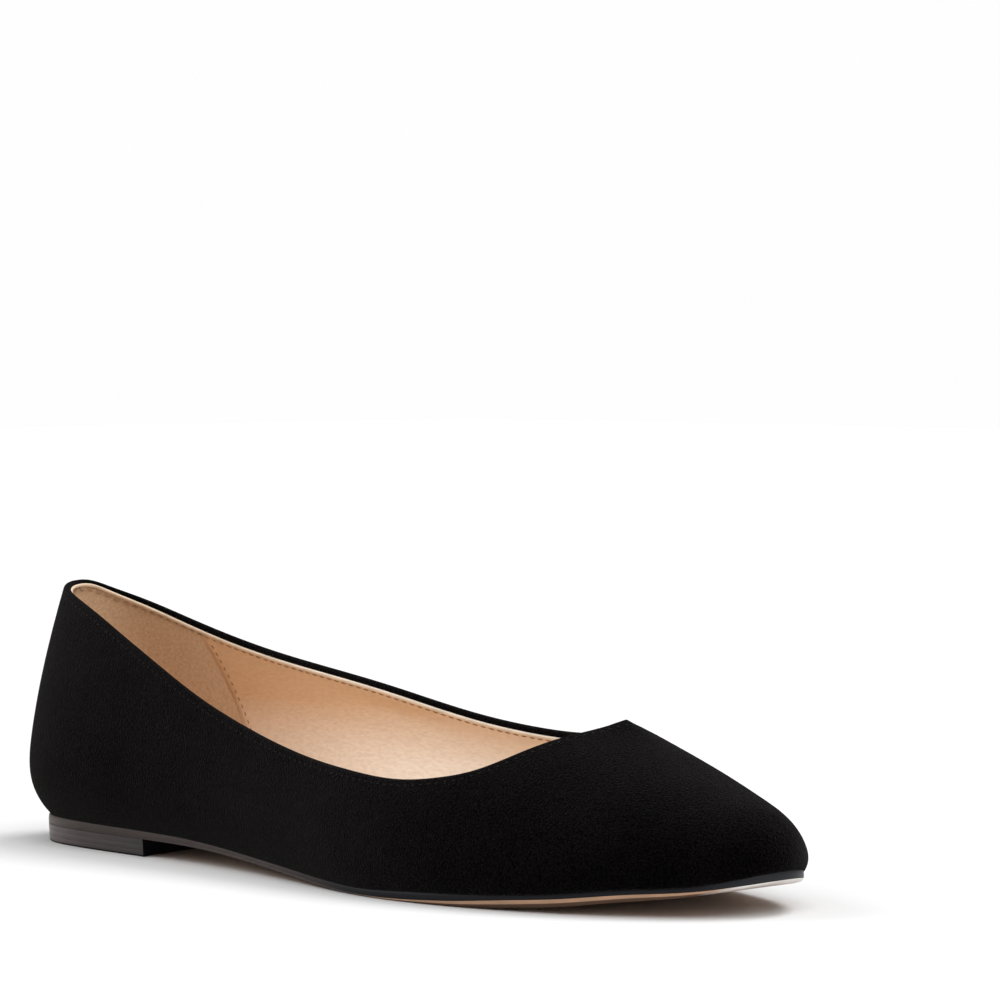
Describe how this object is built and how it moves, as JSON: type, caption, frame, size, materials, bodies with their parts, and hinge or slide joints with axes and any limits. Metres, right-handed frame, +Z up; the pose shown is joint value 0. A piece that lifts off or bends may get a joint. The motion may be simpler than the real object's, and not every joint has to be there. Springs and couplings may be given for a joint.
{
  "type": "ballet flat",
  "caption": "Women's ballet flat for the right foot: black suede upper with a pointed toe and V throat, leather lining, thin leather sole with toe spring and a low stacked heel.",
  "frame": {"origin": "on the floor, under the middle of the shoe's length and width", "axes": "+X from heel to toe, +Y towards the inner side of the foot, +Z up"},
  "size_m": [0.2582, 0.0819, 0.0696],
  "materials": {
    "upper": "black suede nap outside, smooth tan lining inside",
    "outsole": "sole leather, edge painted black, tan bevel and underside",
    "heel": "stacked board, dark grey-brown, satin",
    "insole": "smooth tan sock leather"
  },
  "bodies": {
    "root": {"upper": "upper", "outsole": "outsole", "heel": "heel", "insole": "insole"}
  },
  "joints": []
}
